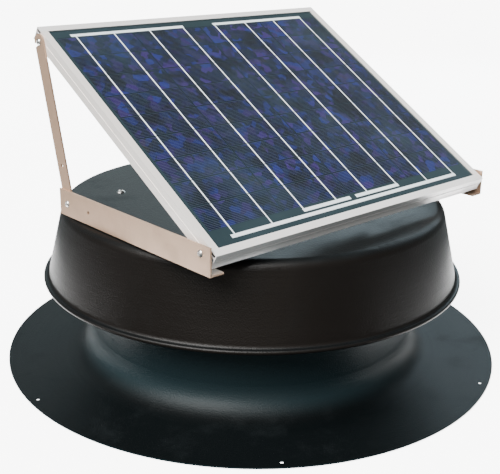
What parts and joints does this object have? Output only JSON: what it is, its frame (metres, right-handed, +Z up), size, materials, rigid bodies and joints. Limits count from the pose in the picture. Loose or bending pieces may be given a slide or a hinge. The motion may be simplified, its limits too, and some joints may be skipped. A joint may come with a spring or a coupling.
{
  "type": "solar attic fan",
  "caption": "Round roof ventilator: wide flashing and throat, overhanging shroud, riveted fan and motor inside, and a solar panel on folding struts above.",
  "frame": {"origin": "centre of the flashing's flange on its underside, the plane it lies on the roof with", "axes": "+Z up out of the roof along the throat and fan axis; the panel's low edge and its tilt pivots are toward -Y, the struts toward +Y; +X along the tilt axis"},
  "size_m": [0.624, 0.624, 0.4074],
  "materials": {
    "black_coat": "semi-gloss black powder coat with a faint orange peel",
    "screen_steel": "galvanised wire mesh, dull",
    "stainless": "stainless, turned and lightly worn",
    "zinc_plate": "zinc-plated sheet, soft spangle",
    "rubber": "matte black rubber",
    "black_plastic": "fine-grained black plastic",
    "cast_alloy": "die-cast, fine grain",
    "motor_black": "satin black enamel",
    "ground_steel": "ground bright",
    "copper_varnish": "varnished laminations",
    "magnet": "dark ferrite and steel",
    "blade_alloy": "rolled sheet, fine grain along the blade",
    "mill_aluminium": "mill finish, fine lines along the length",
    "anodised_frame": "clear anodised, matte",
    "glass": "low-iron glass, glossy",
    "cell_blue": "dark blue crystalline silicon under resin",
    "tinned_ribbon": "tinned ribbon",
    "back_sheet": "dark teal laminate"
  },
  "bodies": {
    "base": {"flashing_base": "black_coat", "screen_panel_1": "screen_steel", "screen_panel_2": "screen_steel", "screen_panel_3": "screen_steel", "screen_panel_4": "screen_steel", "shroud_bracket_1": "zinc_plate", "shroud_bracket_2": "zinc_plate", "shroud_bracket_3": "zinc_plate", "shroud_bracket_4": "zinc_plate", "throat_screws": "stainless", "shroud": "black_coat", "shroud_screws": "stainless", "cable_grommet": "rubber", "motor_mount": "zinc_plate", "motor_cap": "cast_alloy", "motor_can": "motor_black", "motor_nose": "cast_alloy", "motor_screws": "stainless", "motor_gland": "black_plastic", "motor_bearings": "ground_steel", "stator_core": "copper_varnish", "rail_left": "mill_aluminium", "rail_right": "mill_aluminium", "rail_washers": "rubber", "rail_screws": "stainless", "rail_nuts": "stainless", "strut_bolts": "stainless", "strut_nuts": "stainless"},
    "fan": {"motor_shaft": "ground_steel", "magnet_rotor": "magnet", "fan_hub": "cast_alloy", "hub_set_screw": "stainless", "fan_blade_1": "blade_alloy", "fan_blade_2": "blade_alloy", "fan_blade_3": "blade_alloy", "fan_blade_4": "blade_alloy", "fan_blade_5": "blade_alloy", "blade_rivets": "stainless"},
    "panel": {"pivot_bolts": "stainless", "pivot_spacers": "black_plastic", "pivot_nuts": "stainless", "hook_screws": "stainless", "frame_front": "anodised_frame", "frame_rear": "anodised_frame", "frame_left": "anodised_frame", "frame_right": "anodised_frame", "corner_plates": "zinc_plate", "corner_rivets": "stainless", "edge_seal": "rubber", "solar_glass": "glass", "solar_cells": "cell_blue", "bus_ribbons": "tinned_ribbon", "back_sheet": "back_sheet", "junction_box": "black_plastic", "junction_lid": "black_plastic", "junction_screws": "stainless", "junction_gland": "black_plastic"},
    "left_strut": {"strut_left": "mill_aluminium"},
    "right_strut": {"strut_right": "mill_aluminium"}
  },
  "joints": [
    {"name": "fan_spin", "type": "hinge", "parent": "base", "child": "fan", "pos_m": [0, 0, 0.057], "axis": [0, 0, 1], "continuous": true},
    {"name": "panel_tilt", "type": "hinge", "parent": "base", "child": "panel", "pos_m": [0, -0.1687, 0.2187], "axis": [1, 0, 0], "range_deg": [-30, 0]},
    {"name": "left_strut_fold", "type": "hinge", "parent": "base", "child": "left_strut", "pos_m": [-0.2228, 0.07154, 0.212], "axis": [1, 0, 0], "range_deg": [0, 105]},
    {"name": "right_strut_fold", "type": "hinge", "parent": "base", "child": "right_strut", "pos_m": [0.2228, 0.07154, 0.212], "axis": [1, 0, 0], "range_deg": [0, 105]}
  ],
  "couplings": [
    {"joint": "left_strut_fold", "follows": "panel_tilt", "ratio": -3.4889},
    {"joint": "right_strut_fold", "follows": "panel_tilt", "ratio": -3.4889}
  ]
}
